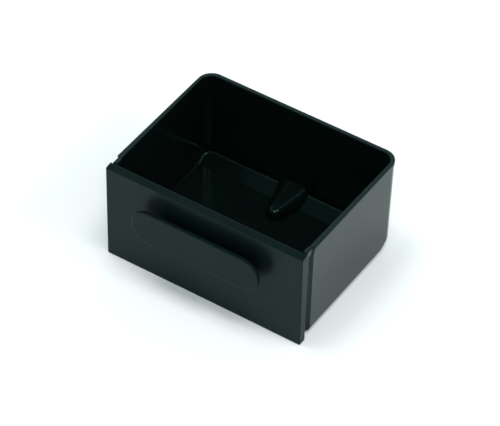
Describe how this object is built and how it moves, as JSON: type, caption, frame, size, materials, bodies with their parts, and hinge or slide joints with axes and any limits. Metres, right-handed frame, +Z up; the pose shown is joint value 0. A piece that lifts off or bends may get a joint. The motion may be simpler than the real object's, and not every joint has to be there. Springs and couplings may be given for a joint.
{
  "type": "waste drawer",
  "caption": "Small black plastic waste drawer: open drafted tub with a rim lip, a flat front panel and a long oval finger grip.",
  "frame": {"origin": "middle of the drawer's footprint, on the plane of the front panel's lower edge", "axes": "+X to the right along the front panel, +Y to the rear of the drawer (the panel faces -Y), +Z up"},
  "size_m": [0.1508, 0.1262, 0.0765],
  "materials": {
    "tub_plastic": "polished black injection moulding",
    "panel_plastic": "satin black injection moulding",
    "grip_plastic": "satin black injection moulding",
    "screw_steel": "zinc plated"
  },
  "bodies": {
    "root": {"tub": "tub_plastic", "front_panel": "panel_plastic", "finger_grip": "grip_plastic", "panel_screws": "screw_steel", "grip_screws": "screw_steel"}
  },
  "joints": []
}
